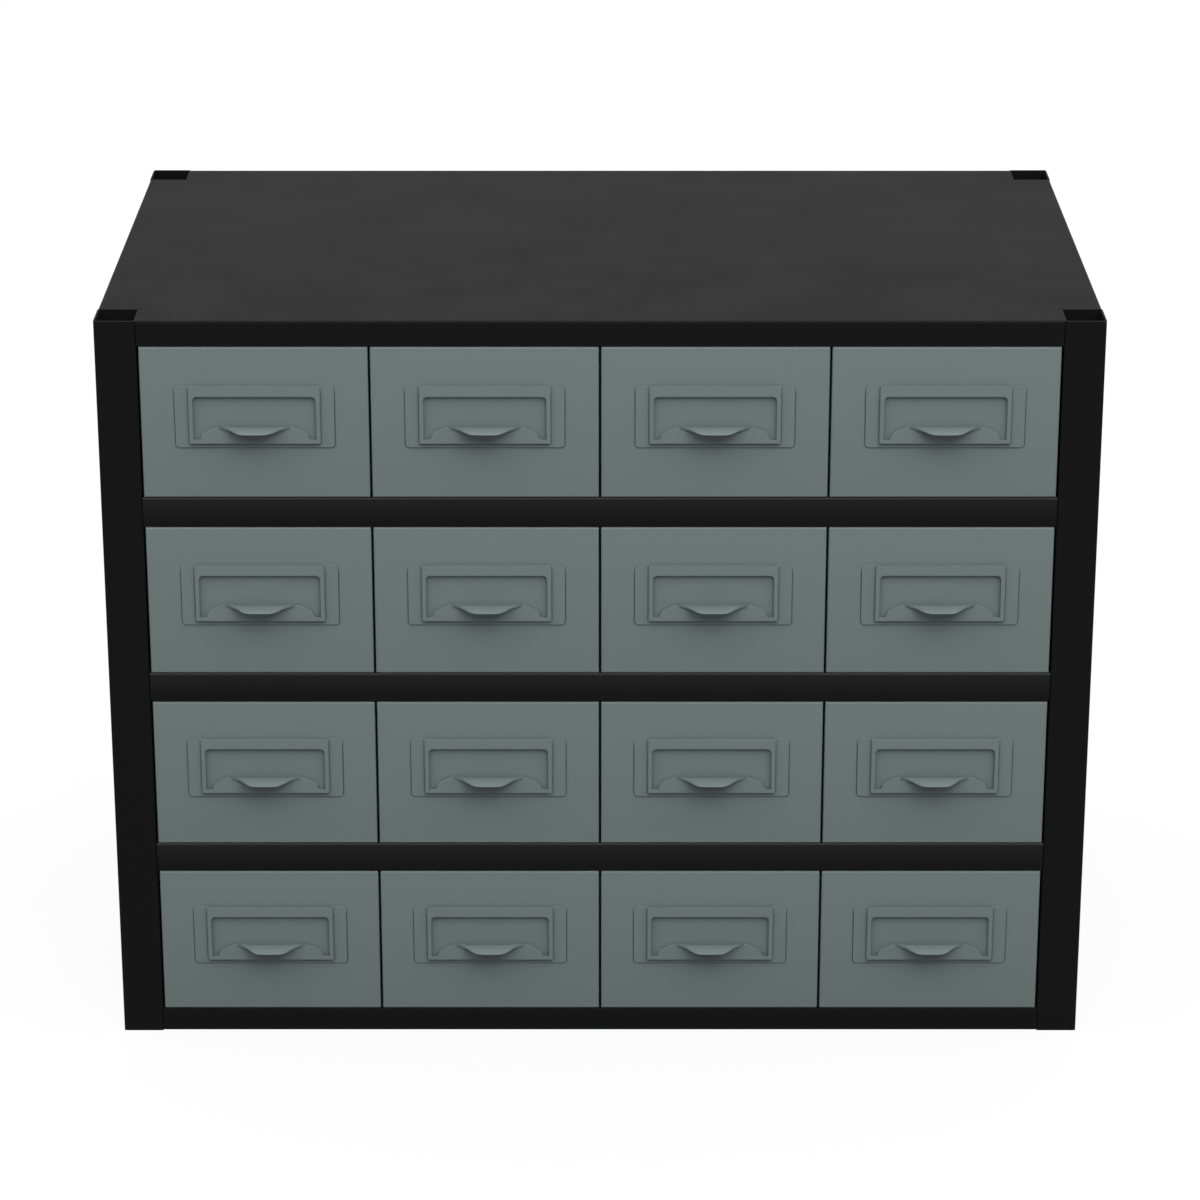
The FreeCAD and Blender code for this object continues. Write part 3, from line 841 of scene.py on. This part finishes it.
def edge_sections():
    """A section for each point of the left half of the edge."""
    edge = [Vector(point) for point in window_edge()]
    sections = []
    for i, point in enumerate(edge):
        before = edge[i - 1] if i else Vector((-edge[1].x, edge[1].y))
        after = edge[i + 1] if i + 1 < len(edge) else Vector((-edge[i - 1].x, edge[i - 1].y))
        along = (after - before).normalized()
        section = plain_section(point.x, point.y, Vector((-along.y, along.x)))
        if i <= ARCH_POINTS:
            blend = min(1.0, max(0.0, (LIP_HALF + TIP_FADE + point.x) / TIP_FADE))
            lip = [Vector((point.x, y, z)) for y, z in lip_section(point.x)]
            section = [Vector(plain).lerp(full, blend) for plain, full in zip(section, lip)]
        sections.append(section)
    return sections

# %% [markdown]
# The flat parts are single faces with many corners. The front face goes all round the window, so
# it is made as a left and a right half that meet in the middle, and so is the back face.

# %% Card holder and pull
def mirrored(points):
    return [(-x, y, z) for x, y, z in points]


def plate_ring(inset, y):
    """Outer edge of the plate, from the frame's upper left corner round to its upper right one."""
    head = PLATE_HEAD_RADIUS - inset
    shoulder = PLATE_HALF - PLATE_HEAD_RADIUS
    left = arc((-shoulder, PLATE_HIGH - PLATE_HEAD_RADIUS), head, 90, 180, CORNER_STEPS)[1:]
    right = [(-x, z) for x, z in reversed(left)]
    path = u_path(PLATE_HALF - inset, PLATE_LOW + inset, 0, PLATE_FOOT_RADIUS - inset)[1:-1]
    whole = [(-shoulder, PLATE_HIGH)] + left + path + right + [(shoulder, PLATE_HIGH)]
    return [(x, y, z) for x, z in whole]


def frame_ring(inset, y):
    """The U of the raised frame's three walls."""
    radius = max(FRAME_CORNER - inset, EASE)
    return [(x, y, z) for x, z in u_path(FRAME_HALF - inset, FRAME_LOW + inset, PLATE_HIGH, radius)]


def add_pull(sheet):
    face = FRAME_PROUD
    wall = arc((-FRAME_FOOT, -SHEET - FRAME_FOOT), FRAME_FOOT, 90, 0, BEND_STEPS)
    wall += arc((FRAME_BEND, FRAME_BEND - face), FRAME_BEND, 180, 270, BEND_STEPS)
    inner = [(SHEET, 0)] + arc((FRAME_BEND, FRAME_BEND - face), FRAME_BEND - SHEET, 180, 270, BEND_STEPS)
    plate = [ring(sheet, plate_ring(*at)) for at in ((0, 0), (0, EASE - SHEET), (EASE, -SHEET))]
    walls = [ring(sheet, frame_ring(inset, y)) for inset, y in wall]
    backs = [ring(sheet, frame_ring(inset, y)) for inset, y in inner]
    for rings in (plate, walls, backs):
        strips(sheet, rings)
    sheet.faces.new(plate[-1] + walls[0][::-1])
    sheet.faces.new(plate[0] + backs[0][::-1])

    left = [ring(sheet, section) for section in edge_sections()]
    right = [ring(sheet, mirrored(section)) for section in edge_sections()[1:-1]]
    loop = left + right[::-1]
    strips(sheet, loop + loop[:1])
    middle = len(walls[-1]) // 2
    half = len(left)
    tops = ring(sheet, [(0, -face, PLATE_HIGH), (0, SHEET - face, PLATE_HIGH)])
    for top, outer, at in ((tops[0], walls[-1], 0), (tops[1], backs[-1], -1)):
        edge = [section[at] for section in loop]
        sheet.faces.new([top] + outer[: middle + 1] + edge[:half])
        sheet.faces.new([top] + outer[: middle - 1 : -1] + [edge[0]] + edge[: half - 2 : -1])
    front = [rows[0] for rows in plate + walls] + tops[:1] + [rows[-1] for rows in (plate + walls)[::-1]]
    behind = [rows[-1] for rows in backs] + tops[1:] + [rows[0] for rows in backs[::-1]]
    sheet.faces.new(front + behind)


sheet = bmesh.new()
add_pull(sheet)
pull_mesh = finished(sheet, "card_pull")
pull_mesh.materials.append(pull_paint)

# %% [markdown]
# Each drawer and each pull is its own object on the shared mesh, and rides on its own body. The
# weighted normals let the wide flat faces stay flat while the narrow bends beside them shade
# smoothly.

# %% Place the drawers and their pulls
def placed(name, mesh, stand_in, body):
    piece = bpy.data.objects.new(name, mesh)
    drawer = body.replace("bin_", "drawer_")
    low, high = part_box(drawer)
    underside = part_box(f"{drawer}_pull")[0].z - PLATE_LOW * MM
    piece.location = ((low.x + high.x) / 2, low.y, underside)
    scene.collection.objects.link(piece)
    piece.modifiers.new("even_shading", "WEIGHTED_NORMAL").keep_sharp = True
    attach(piece, body)
    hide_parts(stand_in)


bins = sorted(body for body in frame["bodies"] if body.startswith("bin_"))
for body in bins:
    place_name = body.replace("bin_", "")
    placed(f"folded_drawer_{place_name}", drawer_mesh, f"drawer_{place_name}", body)
    placed(f"card_pull_{place_name}", pull_mesh, f"drawer_{place_name}_pull", body)
print(len(bins), "drawers placed")
